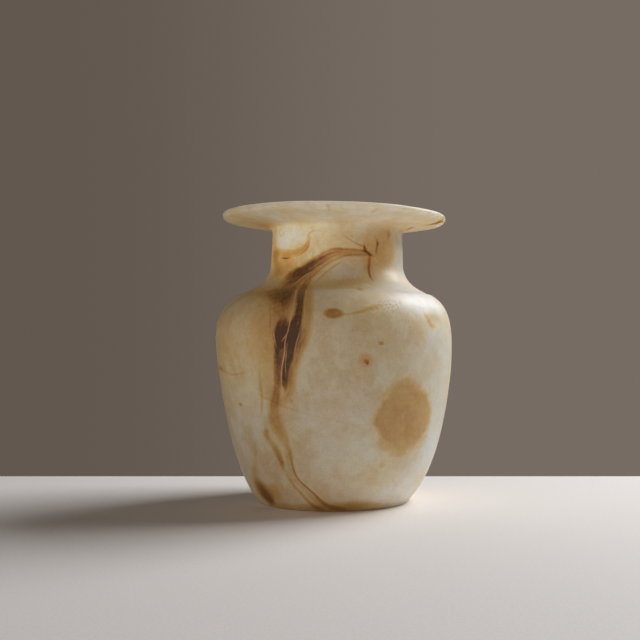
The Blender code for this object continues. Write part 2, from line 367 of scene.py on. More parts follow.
# %% Strokes of the great vein
# Each stroke: its look, then its places, each by angle, height, half width and strength
GREAT_VEIN = {
    "arch": (
        STREAKY, (32.4, 127, 0.8, 0), (20.5, 127.2, 1.4, 0.34), (7.9, 127.3, 1.7, 0.4),
        (-1, 127, 1.9, 0.46), (-12.2, 123.4, 2.4, 0.62), (-19.6, 120.9, 2.8, 0.72),
        (-26.7, 118.4, 3.3, 0.78), (-32.3, 116.2, 4, 0.78), (-36.5, 113.9, 4.6, 0.6), (-41, 111.4, 5, 0),
    ),
    "arch_top_line": (
        LINE, (29.5, 126.9, 0.5, 0.3), (24, 128.4, 0.6, 0.45), (16.2, 129, 0.6, 0.4),
        (7.9, 129.2, 0.6, 0.42), (-1.2, 129.2, 0.6, 0.4), (-8.6, 127.8, 0.6, 0.36),
        (-16, 125.1, 0.7, 0.36), (-23.7, 122, 0.8, 0.36), (-31.7, 119.8, 0.9, 0.36), (-40.3, 118.4, 1, 0),
    ),
    "arch_core": (
        SOFT, (6, 128.3, 0.4, 0), (-4.9, 126.9, 0.5, 0.3), (-15, 123.8, 0.9, 0.5),
        (-23.5, 120.3, 1.2, 0.6), (-31, 118.2, 1.6, 0.6), (-38.7, 116.7, 1.8, 0.4),
        (-43.8, 115.1, 1.7, 0),
    ),
    "arch_lower_line": (
        LINE, (32.4, 126.5, 0.4, 0.2), (17, 126.5, 0.4, 0.3), (7.8, 125.8, 0.45, 0.32),
        (0.5, 124.1, 0.5, 0.32), (-6.6, 121.8, 0.6, 0.32), (-13.6, 118.5, 0.6, 0.32),
        (-17.9, 115.1, 0.7, 0.3), (-18.2, 111, 0.7, 0),
    ),
    "arch_under_line": (
        LINE, (7.8, 123.2, 0.4, 0), (2.4, 122, 0.4, 0.25), (-4.7, 119, 0.5, 0.25),
        (-11.1, 115.3, 0.6, 0.22), (-14.5, 112.2, 0.7, 0),
    ),
    "shoulder_mass": (
        STREAKY, (-13.5, 117.8, 1.4, 0.2), (-20, 116.8, 2.8, 0.4), (-26.5, 115.2, 3.6, 0.46),
        (-31, 112.8, 4.5, 0.44), (-28.5, 109, 4.4, 0.42), (-25.6, 105.3, 3.8, 0.32),
        (-23.8, 102, 2.9, 0.18), (-22.4, 98.2, 2, 0),
    ),
    "amber_field": (
        FADED, (-48.2, 114, 3.5, 0.1), (-38.8, 110.2, 4, 0.36), (-31.3, 105.4, 4.2, 0.44),
        (-27.9, 101, 3.9, 0.44), (-26.3, 96.6, 3.6, 0.38), (-25.9, 92.4, 3, 0.36),
        (-25.7, 88.2, 2.8, 0.3), (-26, 83, 2.4, 0.2),
    ),
    # The next stroke is the vein's brown spread and also painted shade in the hollow along the shoulder
    # step.
    "shoulder_spread_and_shade": (
        GLOW, (-27, 106.5, 3.5, 0.36), (-33, 107, 5, 0.46), (-40, 107.5, 5.5, 0.4), (-49, 108.5, 5, 0.26),
        (-62, 110, 4.5, 0),
    ),
    "right_tongue": (
        DARK, (-19.6, 115.1, 0.9, 0.3), (-20.5, 112.2, 1.7, 0.62), (-19.1, 108.6, 1.7, 0.72),
        (-17.4, 104.1, 1.7, 0.76), (-16.7, 99.7, 1.7, 0.8), (-16.8, 95.5, 2.3, 0.86),
        (-17.8, 91.3, 3.2, 0.9), (-18.5, 87.9, 3.3, 0.92), (-19.1, 84.2, 2.9, 0.92),
        (-19.8, 80.6, 2.4, 0.9), (-20.6, 76.9, 2.1, 0.88), (-21.8, 73.2, 1.7, 0.84),
        (-22.9, 69.5, 1.5, 0.8), (-23.4, 65.8, 1.5, 0.72), (-23.4, 62.1, 1.1, 0.54),
        (-23.5, 58.9, 0.5, 0),
    ),
    "left_tongue": (
        DARK, (-23.9, 96, 1.1, 0.05), (-24, 92.8, 2.8, 0.6), (-24.3, 89.2, 3.9, 0.86),
        (-24.4, 87, 4.1, 0.9), (-24.6, 84.8, 3.7, 0.9), (-25.2, 82.2, 2.7, 0.84), (-26.2, 80, 1.5, 0.66),
        (-26.5, 77.4, 0.8, 0.4), (-26.6, 74.5, 0.6, 0),
    ),
    "amber_column": (
        STREAKY, (-26.4, 84, 1.5, 0.1), (-26.6, 80, 1.6, 0.4), (-26.8, 74.2, 1.7, 0.52),
        (-27.2, 67.9, 1.6, 0.5), (-27.6, 61.5, 1.8, 0.48), (-28.6, 56.7, 2.5, 0.5),
        (-29.8, 52.3, 2.8, 0.46), (-30.4, 47.5, 3, 0.4), (-30, 43.5, 3.1, 0.34), (-28.5, 40.8, 2.9, 0.28),
        (-26.9, 38.2, 2.4, 0.24), (-25.6, 34.5, 1.9, 0.16), (-25.3, 29.9, 1.8, 0.12),
        (-25.2, 25.4, 1.6, 0.12), (-24.9, 20.5, 1.5, 0.13), (-23.3, 16.5, 1.5, 0.15),
        (-19.2, 12.6, 1.7, 0.17), (-15, 9.1, 2, 0.18), (-10.1, 4.4, 2.3, 0.18), (-5.8, 1.7, 2, 0.1),
    ),
    "amber_right": (
        FADED, (-17.7, 113.4, 1.1, 0.1), (-14.9, 107.4, 2.1, 0.38), (-13, 100.8, 2.1, 0.36),
        (-12.4, 94.4, 2, 0.4), (-12.9, 89.2, 2.2, 0.48), (-14.1, 86.3, 2.4, 0.56),
        (-15.5, 82.1, 2.6, 0.6), (-17.4, 76.9, 2.5, 0.56), (-19, 71.6, 2.4, 0.5), (-20, 66.4, 2.1, 0.44),
        (-20.9, 61.6, 1.9, 0.38), (-22.8, 57.3, 1.7, 0.32), (-25.7, 53.5, 1.5, 0.1),
    ),
    "vein_bed": (
        BED, (-31, 112, 4, 0.05), (-25.5, 107.5, 6.6, 0.14), (-23.2, 103.5, 7, 0.14),
        (-21.6, 98.4, 6.8, 0.12), (-21.6, 92.4, 6.6, 0.12), (-22.2, 87, 6.3, 0.14),
        (-23, 82.7, 5.3, 0.14), (-23.6, 78.5, 4.7, 0.12), (-24.3, 73.1, 4.2, 0.1),
        (-24.9, 67.8, 3.8, 0.08), (-25.5, 62.5, 3.6, 0.06), (-26.9, 57.8, 3.3, 0),
    ),
    "brown_fill": (
        FILL, (-24.5, 113.5, 2.2, 0.1), (-25.1, 108.8, 4.2, 0.5), (-23, 104.5, 5, 0.54),
        (-20.8, 99.6, 4, 0.26), (-20.2, 95.7, 4.2, 0.22), (-20.4, 91.8, 4.6, 0.46), (-21, 88.1, 5, 0.64),
        (-21.6, 85, 4.8, 0.68), (-22.4, 82.2, 4.4, 0.68), (-22.9, 79.3, 4.2, 0.68),
        (-23.4, 75, 3.8, 0.66), (-23.8, 70, 3.5, 0.62), (-24.3, 65, 3, 0.54), (-24.9, 60, 2.4, 0),
    ),
    # A broad, soft darkening left of the vein, coloured through the iron ramp.
    "wide_left_darkening": (
        GLOW, (-26, 112, 13, 0.16), (-31, 102, 9.5, 0.22), (-32, 94, 9, 0.3), (-32, 86, 9, 0.32),
        (-31, 77, 8.5, 0.28), (-30, 68, 8, 0.22), (-29, 60, 7, 0.18), (-28, 50, 7, 0.13),
        (-27, 36, 6, 0.1),
    ),
}
lay_all(GREAT_VEIN)

# %% [markdown]
# ## Smaller veins, cracks and stains
# Below the great vein two thin brown veins run down to the foot and cross over to the right. On the
# neck an ochre hook and a few short dark marks show, and on the right a red-brown vein hangs from the
# arch. The foot has soaked up brown all along its front. The back of the vase isn't in the picture, so
# it only has a few quiet veins of the same kind.

# %% Strokes of the smaller veins
SMALL_VEINS = {
    "neck_hook": (
        SOFT, (-67, 129, 2, 0.15), (-57.8, 128.5, 2.2, 0.3), (-45.5, 127.4, 2.3, 0.36),
        (-36.2, 128, 1.8, 0.34), (-29.1, 129.3, 1.5, 0.36), (-24.6, 131.4, 1.3, 0.42),
        (-22.8, 134.4, 1, 0.34), (-23.1, 136.6, 0.7, 0.26), (-20.4, 138.2, 0.5, 0.18),
        (-13.8, 138.7, 0.4, 0.08),
    ),
    "hook_line": (
        LINE, (-32.9, 126.5, 0.4, 0.1), (-28, 127.8, 0.5, 0.35), (-23.4, 130.4, 0.4, 0.35),
        (-21.7, 132.9, 0.3, 0),
    ),
    "hook_dash": (LINE, (-52.3, 125.7, 0.3, 0.3), (-47.3, 125.4, 0.4, 0.8), (-42.8, 125.4, 0.3, 0.2)),
    "neck_edge": (
        GLOW, (-66.9, 131, 2.9, 0.1), (-66, 127.8, 3.3, 0.42), (-62.5, 123.6, 3, 0.42),
        (-55.2, 120.2, 2.8, 0.3),
    ),
    "neck_amber": (
        GLOW, (-61.6, 118.4, 3.5, 0.26), (-49.8, 120, 3.8, 0.34), (-40.1, 122, 3.2, 0.3),
        (-33.8, 124, 2, 0),
    ),
    "swirl": (
        SOFT, (-55.4, 141, 0.5, 0.1), (-59, 139.3, 0.6, 0.16), (-56.5, 137.1, 0.5, 0.16),
        (-51.7, 137.9, 0.5, 0.16), (-52.7, 140, 0.4, 0.1),
    ),
    "dark_mark": (
        LINE, (24.6, 131.6, 0.4, 0.3), (24.7, 129.8, 0.8, 0.8), (26.1, 128.4, 0.7, 0.6),
        (29.3, 127, 0.7, 0.5), (32.6, 126.5, 0.5, 0.1),
    ),
    "second_dark_mark": (
        LINE, (36.9, 134.2, 0.5, 0.3), (37.7, 132.6, 0.8, 0.75), (36.8, 130.7, 0.5, 0.5),
        (36, 128.8, 0.6, 0.5), (35.7, 127, 0.4, 0.1),
    ),
    "mark_glow": (
        GLOW, (12, 127.5, 4, 0.05), (24, 127.5, 8, 0.2), (34, 127.5, 10, 0.28), (45, 127.5, 10, 0.28),
        (55, 127, 8, 0.16), (64, 126, 5, 0),
    ),
    "third_mark": (
        GLOW, (47, 139.6, 1.6, 0.05), (51, 138.1, 1.3, 0.3), (51.1, 136.5, 1.1, 0.4),
        (50.1, 134.5, 0.8, 0),
    ),
    "faint_neck_line": (
        LINE, (4.6, 136.8, 0.5, 0.05), (11.2, 134.2, 0.5, 0.2), (16.7, 132.3, 0.5, 0.28),
        (23.2, 130.8, 0.4, 0.3),
    ),
    "red_vein": (
        LINE, (29.5, 126.5, 0.6, 0.3), (29, 124, 0.65, 0.42), (28.9, 123, 0.6, 0.48),
        (28, 120.5, 0.6, 0.56), (27.5, 117.9, 0.6, 0.62), (27.3, 115.9, 0.6, 0.6),
        (27.9, 114.3, 0.5, 0.4), (28.4, 113, 0.4, 0),
    ),
    "red_glow": (
        GLOW, (28.5, 125, 1.7, 0.1), (28.2, 122.5, 1.9, 0.18), (27.6, 118.5, 1.9, 0.2),
        (27.3, 113.9, 1.6, 0),
    ),
    "shoulder_glow": (
        GLOW, (-16, 110.5, 3.5, 0.1), (-6, 111.5, 4, 0.24), (4, 112, 4, 0.26), (14, 112.5, 3.8, 0.22),
        (24, 113.5, 3.5, 0.17), (34, 115, 3, 0.1), (44, 116.5, 2.5, 0),
    ),
    "spot_line": (
        SOFT, (4, 96.3, 0.4, 0.2), (7.5, 96.7, 0.5, 0.25), (11.3, 97.7, 0.7, 0.26), (13.7, 98.4, 1, 0.28),
        (16.7, 99.4, 1.2, 0.32), (19.9, 100.1, 1.3, 0.28), (23, 100.8, 1, 0.05),
    ),
    "left_line": (
        SOFT, (-36.7, 70.3, 0.7, 0.05), (-36.6, 65, 0.8, 0.2), (-36.5, 59.6, 0.8, 0.24),
        (-36.7, 54.8, 0.8, 0.24), (-37.9, 49.3, 0.7, 0.14), (-39, 44.9, 0.6, 0),
    ),
    "cross_line": (
        LINE, (-38.3, 58.2, 0.4, 0.1), (-33.3, 55.7, 0.5, 0.16), (-28.5, 54.2, 0.6, 0.16),
        (-24.6, 52.5, 0.5, 0.12), (-20.2, 51.4, 0.4, 0.12), (-13.2, 48.9, 0.4, 0.08),
        (-5.9, 47.5, 0.35, 0.06), (1.8, 45.5, 0.4, 0.1), (8, 43.9, 0.4, 0.09), (12.5, 44, 0.35, 0.08),
        (17.5, 44.7, 0.3, 0),
    ),
    "thin_line": (
        LINE, (-34.5, 104, 0.5, 0), (-31.5, 98.5, 0.5, 0.18), (-30.4, 94, 0.5, 0.22),
        (-30, 89.5, 0.5, 0.22), (-29.7, 85, 0.5, 0),
    ),
    "left_foot_vein": (
        SOFT, (-35.9, 42.7, 0.9, 0.05), (-36.5, 40.2, 1.6, 0.38), (-36.8, 37.7, 1.6, 0.44),
        (-35.2, 35.1, 1.4, 0.3), (-32.9, 32.5, 1.6, 0.36), (-31.6, 29.6, 1.7, 0.42),
        (-30.5, 26.7, 1.5, 0.54), (-29.9, 24.5, 1.3, 0.56), (-29.9, 22.2, 0.9, 0.26),
        (-29.5, 19.7, 0.8, 0),
    ),
    "right_foot_vein": (
        LINE, (-25.6, 35.3, 1.2, 0.05), (-24.4, 31.9, 1.2, 0.26), (-23.9, 28.5, 1.1, 0.36),
        (-23.8, 25.5, 0.8, 0.44), (-23.5, 22.5, 0.6, 0.48), (-22.6, 19, 0.5, 0.54),
        (-20.4, 15.7, 0.4, 0.56), (-16.7, 12.6, 0.4, 0.56), (-13, 9.5, 0.5, 0.48), (-9.8, 6.3, 1, 0.44),
        (-5.6, 3.5, 1.3, 0.46), (-0.3, 2.2, 1.4, 0.5), (6, 1.2, 1.4, 0.3),
    ),
    "grey_foot_line": (
        SOFT, (-29.6, 21.7, 0.8, 0), (-28.3, 19.3, 0.9, 0.16), (-26.8, 16.3, 1, 0.24),
        (-24.8, 13.2, 0.9, 0.3), (-22, 10.3, 0.8, 0.32), (-19.3, 7.2, 0.8, 0.36), (-16, 4, 1.1, 0.42),
        (-12.2, 1.6, 1.4, 0.5), (-8, 1, 1.2, 0.2),
    ),
    "foot_band": (
        SOFT, (-50, 1.5, 2.4, 0.1), (-40, 1.5, 2.4, 0.25), (-30, 1.5, 2.4, 0.28), (-18, 1.8, 2.6, 0.32),
        (-5, 1.8, 2.8, 0.34), (5, 2.2, 3.2, 0.4), (14, 2.6, 3.2, 0.42), (22, 2.6, 2.8, 0.34),
        (30, 2, 2.2, 0.22), (42, 1.6, 1.4, 0.1), (60, 1.4, 1.2, 0),
    ),
    "foot_patch": (
        SOFT, (-55, 16.5, 2.4, 0.1), (-54.5, 12.8, 4.2, 0.55), (-53.5, 9.6, 5.6, 0.74),
        (-52, 6.8, 5.8, 0.8), (-50, 4.6, 4.8, 0.8), (-48, 3, 3.4, 0.62), (-46, 1.8, 1.8, 0.1),
    ),
    "patch_glow": (
        GLOW, (-42.3, 14.2, 2.2, 0), (-40.6, 11.3, 3.2, 0.22), (-41.5, 8.1, 3.4, 0.28),
        (-45, 4.6, 2.8, 0.24), (-50.3, 2, 2, 0.1),
    ),
    "left_column": (
        GLOW, (-46.9, 36, 2.2, 0), (-47.1, 30.1, 2.3, 0.14), (-49.2, 24.9, 2.4, 0.17),
        (-52.3, 20.1, 2.5, 0.2), (-55.5, 16, 2.4, 0.1),
    ),
    "break_line": (
        LINE, (-76, 69.5, 1.2, 0.3), (-72.5, 69.9, 1.2, 0.4), (-66, 68.6, 0.8, 0.2), (-57, 67, 0.6, 0.13),
        (-49, 68, 0.5, 0.1), (-38, 70.5, 0.5, 0),
    ),
    "chip_edge": (
        SOFT, (47, 98.3, 0.7, 0.05), (48.4, 96, 1.4, 0.28), (50.2, 93.5, 1.7, 0.34),
        (52.6, 91.1, 1.4, 0.34), (55, 91.3, 1, 0.3), (57.5, 93, 0.8, 0),
    ),
    "back_vein": (
        STREAKY, (176, 139, 1.5, 0), (168, 128, 1.8, 0.3), (170, 117, 2.6, 0.4), (160, 106, 3, 0.38),
        (163, 88, 2.2, 0.35), (171, 66, 1.6, 0.3), (166, 40, 1.4, 0.3), (176, 16, 2, 0.35),
        (182, 3, 2.6, 0.3),
    ),
    "back_branch": (
        SOFT, (163, 92, 1.5, 0), (152, 78, 1.2, 0.3), (147, 58, 1, 0.28), (139, 36, 0.9, 0.25),
        (136, 18, 1.2, 0),
    ),
    "far_side_vein": (
        SOFT, (-108, 112, 3.5, 0), (-112, 100, 2.4, 0.25), (-107, 82, 1.6, 0.28), (-113, 58, 1.3, 0.25),
        (-121, 34, 1.6, 0.22), (-118, 12, 2.2, 0),
    ),
}
lay_all(SMALL_VEINS)

# Each place under the rim: angle, radius, half width and strength
RIM_MARKS = {
    "rim_stain": (
        SOFT, (70.3, 57.1, 1.2, 0.2), (76.9, 55.3, 2, 0.76), (80.9, 52.8, 2.8, 0.8),
        (81.2, 50.2, 1.8, 0.66), (77.1, 47.5, 1.6, 0.1),
    ),
    "small_rim_stain": (
        SOFT, (87.1, 37.6, 0.8, 0.3), (80.1, 39.4, 1.3, 0.6), (78.3, 41.1, 1.2, 0.56),
        (79.4, 42.9, 0.9, 0.1),
    ),
    "rim_yellow": (
        GLOW, (-79.7, 43.5, 1, 0), (-77.7, 40.5, 1.5, 0.28), (-75.4, 37.6, 2, 0.3),
        (-76.6, 35.5, 1.8, 0.1),
    ),
    "back_rim_stain": (SOFT, (150, 57, 2, 0.4), (157, 52, 2.4, 0.4), (163, 46, 1.6, 0.1)),
}
lay_all(RIM_MARKS, under_the_rim)

# %% [markdown]
# ## Pale seams
# Clear crystal has grown along the middle and the edges of the great vein, and a few scratches show
# white. These strokes don't add brown: they take it away.

# %% Strokes of the pale seams
PALE_SEAMS = {
    "crystal_seam": (
        (-25.2, 111.7, 0.3, 0.3), (-21.9, 107.5, 0.5, 0.7), (-20.4, 103, 0.6, 0.6), (-20, 98.7, 0.6, 0.6),
        (-20.4, 94.5, 0.5, 0.7), (-20.7, 91.3, 0.3, 0.9), (-21.4, 87.6, 0.25, 1), (-21.9, 85.8, 0.25, 1),
        (-22.6, 82.7, 0.3, 0.9), (-22.7, 79, 0.3, 0.9), (-23.6, 74.8, 0.3, 0.9), (-24.4, 71.6, 0.3, 0.9),
        (-24.9, 67.9, 0.3, 0.8), (-25.1, 64.7, 0.3, 0.7), (-25.2, 61.5, 0.25, 0),
    ),
    "second_seam": (
        (-24, 110.2, 0.25, 0.1), (-22.6, 105.3, 0.25, 0.4), (-21.4, 100.9, 0.25, 0.4),
        (-20.9, 96.6, 0.25, 0),
    ),
    "forked_seam": ((-21.4, 87.6, 0.3, 0.6), (-22.9, 85.3, 0.35, 0.8), (-24.4, 83.3, 0.3, 0)),
    "double_seam": (
        (-21.5, 82.1, 0.3, 0.1), (-22, 77.9, 0.3, 0.5), (-22.6, 73.7, 0.3, 0.5), (-22.7, 69.5, 0.3, 0.5),
        (-22.8, 65.3, 0.3, 0),
    ),
    "left_edge_seam": (
        (-28.9, 91.9, 0.3, 0.1), (-28, 87.2, 0.4, 0.6), (-27.6, 84.8, 0.4, 0.6), (-27, 82.1, 0.35, 0.5),
        (-26.6, 79, 0.3, 0),
    ),
    "right_edge_seam": (
        (-15.6, 88.4, 0.3, 0.1), (-16.5, 85.3, 0.35, 0.5), (-17.4, 82.1, 0.35, 0.5), (-18, 79, 0.35, 0.5),
        (-18.8, 75, 0.3, 0),
    ),
    "arch_seam": (
        (-17.2, 118.3, 0.3, 0.2), (-22.4, 116.9, 0.4, 0.6), (-26.6, 114.7, 0.4, 0.7),
        (-29.3, 112.4, 0.4, 0.4), (-29.4, 110.9, 0.3, 0),
    ),
    "lower_arch_seam": (
        (-6.6, 120.1, 0.3, 0.1), (-13.2, 116.8, 0.3, 0.4), (-18.1, 114, 0.3, 0.4), (-21.7, 112.2, 0.3, 0),
    ),
    "foot_seam": (
        (-26.1, 24.4, 0.5, 0.1), (-25.8, 20.4, 0.7, 0.4), (-24.5, 16.9, 0.7, 0.4),
        (-21.5, 13.5, 0.8, 0.4), (-17.8, 10.4, 0.9, 0.35), (-12.5, 6, 0.9, 0),
    ),
    "long_scratch": (
        (36.6, 98, 0.35, 0.3), (35.5, 95.8, 0.4, 0.7), (34.2, 93.3, 0.4, 0.7), (33.1, 91.4, 0.5, 0.6),
    ),
    "short_scratch": ((34.7, 49, 0.3, 0.2), (34.5, 47, 0.4, 0.6), (34.2, 45, 0.3, 0.2)),
}
for name, places in PALE_SEAMS.items():
    lay_stroke(name, places)

# %% [markdown]
# ## Broad clouds
# The stone is milky in some places, nearly white in a few, and the tool has torn small pits out of
# the shoulder. A few clouds also paint light: the glow on the neck's upper left, light on the neck
# just under the rim and a whiter highlight on the right shoulder. These areas are broad and soft, so
# one value on each mesh point is fine enough. A cloud is given by its angle and height, its half
# width and half height in millimetres, and its strength. All three kinds share one vector attribute:
# milky with painted glow, pearly with painted light, and pitted.

# %% Clouds on the mesh
# The milky cloud at -50 degrees and 135 mm is whiter stone and also the painted glow of light through the
# neck's upper left.
MILKY_AND_GLOWING_CLOUDS = (
    (14, 30, 20, 13, 0.7), (64, 38, 17, 34, 0.9), (50, 12, 22, 8, 0.8), (-50, 135, 8, 6.5, 1),
    (78, 126, 12, 14, 0.7), (-43.6, 60.5, 7, 6, 0.6), (-50, 48, 16, 12, 0.45), (-43.6, 42.2, 5, 3, 0.6),
    (50, 108, 24, 7, 0.7),
)
# The first pearly cloud is also the painted glow on the neck's upper left, the next two are painted light
# on the neck just under the rim, and the one at 54 degrees is also a painted highlight on the right
# shoulder.
PEARLY_AND_PAINTED_LIGHT = (
    (-43, 138.5, 12, 7.5, 0.95), (-12, 143, 14, 4, 0.5), (18, 143, 14, 4, 0.4), (54, 103, 18, 8, 0.8),
    (61, 82, 16, 18, 0.35), (80, 128, 10, 12, 0.5), (62, 26, 16, 18, 0.55), (50, 9, 19, 7, 0.6),
)
PITTED = ((26.5, 101.5, 6.5, 2.4, 0.9), (42.0, 99.8, 8.0, 1.4, 0.4))
CLOUD_CORE = 0.2
CLOUD_END = 1.7

point_angle = np.degrees(np.arctan2(points[:, 0], -points[:, 1]))
point_radius = np.hypot(points[:, 0], points[:, 1])


def cloud(angle, height, half_width, half_height, strength):
    """How strongly a cloud lies on each mesh point: full in its core, fading to nothing."""
    turn = np.radians((point_angle - angle + 180) % 360 - 180)
    aside = turn * point_radius / (half_width * MM)
    above = (points[:, 2] - height * MM) / (half_height * MM)
    reach = np.hypot(aside, above)
    fade = np.clip((CLOUD_END - reach) / (CLOUD_END - CLOUD_CORE), 0.0, 1.0)
    return strength * fade**2 * (3 - 2 * fade)


cloud_values = np.stack(
    [np.max([cloud(*row) for row in table], axis=0) for table in (MILKY_AND_GLOWING_CLOUDS, PEARLY_AND_PAINTED_LIGHT, PITTED)], axis=1
)
clouds_layer = vase.data.attributes.new("clouds", "FLOAT_VECTOR", "POINT")
clouds_layer.data.foreach_set("vector", cloud_values.ravel())
print("milky, pearly and pitted points:", (cloud_values > 0.1).sum(axis=0).tolist())

# %% [markdown]
# ## Shader groups
# The same few effects come again and again in the stone, so each is built once as a node group.
# "Stroke mask" reads the three numbers of a stroke and gives 1 in its middle and 0 outside, with a
# soft or hard edge and a little wobble. "Spot mask" does the same for a round or many-sided stain at
# an angle and a height. Groups give out only masks and numbers, and the shader itself stays in the
# material.

# %% Small helpers for nodes
def srgb(red, green, blue):
    """A colour picked on a screen, 0 to 255, as the linear colour that shaders take."""
    def linear(value):
        value /= 255
        return value / 12.92 if value <= 0.04045 else ((value + 0.055) / 1.055) ** 2.4
    return (linear(red), linear(green), linear(blue), 1.0)


class Nodes:
    """Adds nodes to one tree and links them, so that a recipe reads from top to bottom."""

    def __init__(self, tree):
        self.tree = tree

    def add(self, kind, settings=None, **inputs):
        """A node of this kind. Inputs are named with _ for a space, and may be values or sockets."""
        node = self.tree.nodes.new(kind)
        for name, value in (settings or {}).items():
            setattr(node, name, value)
        for name, value in inputs.items():
            self.feed(node.inputs[name.replace("_", " ")], value)
        return node

    def feed(self, socket, value):
        """Links a socket to this input, or sets the input to a plain value."""
        if isinstance(value, bpy.types.NodeSocket):
            self.tree.links.new(value, socket)
        else:
            socket.default_value = value

    def math(self, operation, first, second=0.0, third=0.0, clamp=False):
        """One step of arithmetic."""
        node = self.tree.nodes.new("ShaderNodeMath")
        node.operation = operation
        node.use_clamp = clamp
        for socket, value in zip(node.inputs, (first, second, third)):
            self.feed(socket, value)
        return node.outputs[0]

    def times(self, first, second, clamp=False):
        """The product of two values."""
        return self.math("MULTIPLY", first, second, clamp=clamp)

    def plus(self, first, second):
        """The sum of two values."""
        return self.math("ADD", first, second)

    def minus(self, first, second):
        """The first value less the second."""
        return self.math("SUBTRACT", first, second)

    def times_plus(self, first, second, third, clamp=False):
        """The product of two values, plus a third."""
        return self.math("MULTIPLY_ADD", first, second, third, clamp)

    def smooth(self, value, low, high, to_low=0.0, to_high=1.0):
        """A soft step from to_low at low to to_high at high."""
        node = self.add(
            "ShaderNodeMapRange",
            {"interpolation_type": "SMOOTHSTEP"},
            Value=value, From_Min=low, From_Max=high, To_Min=to_low, To_Max=to_high,
        )
        return node.outputs["Result"]

    def noise(self, place, scale, detail=3.0, roughness=0.5, distortion=0.0):
        """A noise value between 0 and 1."""
        node = self.add(
            "ShaderNodeTexNoise",
            Vector=place, Scale=scale, Detail=detail, Roughness=roughness, Distortion=distortion,
        )
        return node.outputs["Fac"]

    def blend(self, amount, first, second, kind="MIX"):
        """Mixes two colours."""
        node = self.tree.nodes.new("ShaderNodeMix")
        node.data_type = "RGBA"
        node.blend_type = kind
        self.feed(node.inputs[0], amount)
        self.feed(node.inputs[6], first)
        self.feed(node.inputs[7], second)
        return node.outputs[2]


def new_group(name, inputs, outputs):
    """An empty shader group with these sockets, and its helper, entry and exit."""
    group = bpy.data.node_groups.new(name, "ShaderNodeTree")
    for label, kind in inputs:
        group.interface.new_socket(name=label, in_out="INPUT", socket_type=kind)
    for label, kind in outputs:
        group.interface.new_socket(name=label, in_out="OUTPUT", socket_type=kind)
    nodes = Nodes(group)
    return group, nodes, nodes.add("NodeGroupInput").outputs, nodes.add("NodeGroupOutput").inputs


NUMBER = "NodeSocketFloat"
DIRECTION = "NodeSocketVector"
print("node helpers:", [name for name in vars(Nodes) if not name.startswith("_")])

# %% The stroke mask
stroke_mask, nodes, given, result = new_group(
    "stroke mask",
    [("Stroke", DIRECTION), ("Softness", NUMBER), ("Wobble", NUMBER), ("Ragged", NUMBER)],
    [("Mask", NUMBER)],
)
parts = nodes.add("ShaderNodeSeparateXYZ", Vector=given["Stroke"]).outputs
shift = nodes.times(given["Ragged"], given["Wobble"])
distance = nodes.math("ABSOLUTE", nodes.plus(parts["X"], shift))
outer = nodes.plus(1.0, given["Softness"])
inner = nodes.minus(1.0, given["Softness"])
edge = nodes.smooth(distance, outer, inner)
nodes.feed(result["Mask"], nodes.times(edge, parts["Z"]))
print("stroke mask nodes:", len(stroke_mask.nodes))

# %% Streaks along a stroke
ALONG_STROKE = (2.6, 0.11, 0.0)
STREAK_NOISE = (1.0, 3.0, 0.65)
streaks, nodes, given, result = new_group("streaks", [("Stroke", DIRECTION)], [("Streak", NUMBER)])
stretched = nodes.tree.nodes.new("ShaderNodeVectorMath")
stretched.operation = "MULTIPLY"
nodes.feed(stretched.inputs[0], given["Stroke"])
stretched.inputs[1].default_value = ALONG_STROKE
nodes.feed(result["Streak"], nodes.minus(nodes.noise(stretched.outputs[0], *STREAK_NOISE), 0.5))
print("streak nodes:", len(streaks.nodes))

# %% The spot mask
spot_mask, nodes, given, result = new_group(
    "spot mask",
    [
        ("Angle", NUMBER), ("Height", NUMBER), ("Radius", NUMBER), ("Ragged", NUMBER),
        ("Centre Angle", NUMBER), ("Centre Height", NUMBER),
        ("Half Width", NUMBER), ("Half Height", NUMBER),
        ("Softness", NUMBER), ("Wobble", NUMBER), ("Corners", NUMBER), ("Corner Depth", NUMBER),
    ],
    [("Mask", NUMBER)],
)
turn = nodes.minus(given["Angle"], given["Centre Angle"])
turn = nodes.math("RADIANS", turn)
aside = nodes.math("DIVIDE", nodes.times(turn, given["Radius"]), given["Half Width"])
above = nodes.minus(given["Height"], given["Centre Height"])
above = nodes.math("DIVIDE", above, given["Half Height"])
squares = nodes.plus(nodes.times(aside, aside), nodes.times(above, above))
distance = nodes.math("SQRT", squares)
bearing = nodes.math("ARCTAN2", above, aside)
corners = nodes.math("COSINE", nodes.times(bearing, given["Corners"]))
distance = nodes.plus(distance, nodes.times(corners, given["Corner Depth"]))
distance = nodes.plus(distance, nodes.times(given["Ragged"], given["Wobble"]))
outer = nodes.plus(1.0, given["Softness"])
inner = nodes.minus(1.0, given["Softness"])
nodes.feed(result["Mask"], nodes.smooth(distance, outer, inner))
print("spot mask nodes:", len(spot_mask.nodes))

# %% [markdown]
# ## The alabaster
# Alabaster is gypsum, clouded in cream and tan. Iron colours it: a trace gives yellow, more gives
# amber, then red-brown, and where it is dense the stone is nearly black. Each stroke and spot leaves
# a share of the stone clear, and the shares are multiplied, so stains that lie over each other grow
# darker but never more than full. One ramp turns the result into colour, and the halos round the
# dark veins then come by themselves. Subsurface scattering lets light into the wall, more red than
# blue, which gives the warm glow on the shaded side.

# %% Positions and noises that the stone shares
stone = bpy.data.materials.new("alabaster")
stone.use_nodes = True
stone.node_tree.nodes.clear()
nodes = Nodes(stone.node_tree)
place = nodes.add("ShaderNodeTexCoord").outputs["Object"]
axes = nodes.add("ShaderNodeSeparateXYZ", Vector=place).outputs
backwards = nodes.times(axes["Y"], -1.0)
angle = nodes.math("DEGREES", nodes.math("ARCTAN2", axes["X"], backwards))
height = nodes.math("DIVIDE", axes["Z"], MM)
squares = nodes.times_plus(axes["X"], axes["X"], nodes.times(axes["Y"], axes["Y"]))
radius = nodes.math("DIVIDE", nodes.math("SQRT", squares), MM)

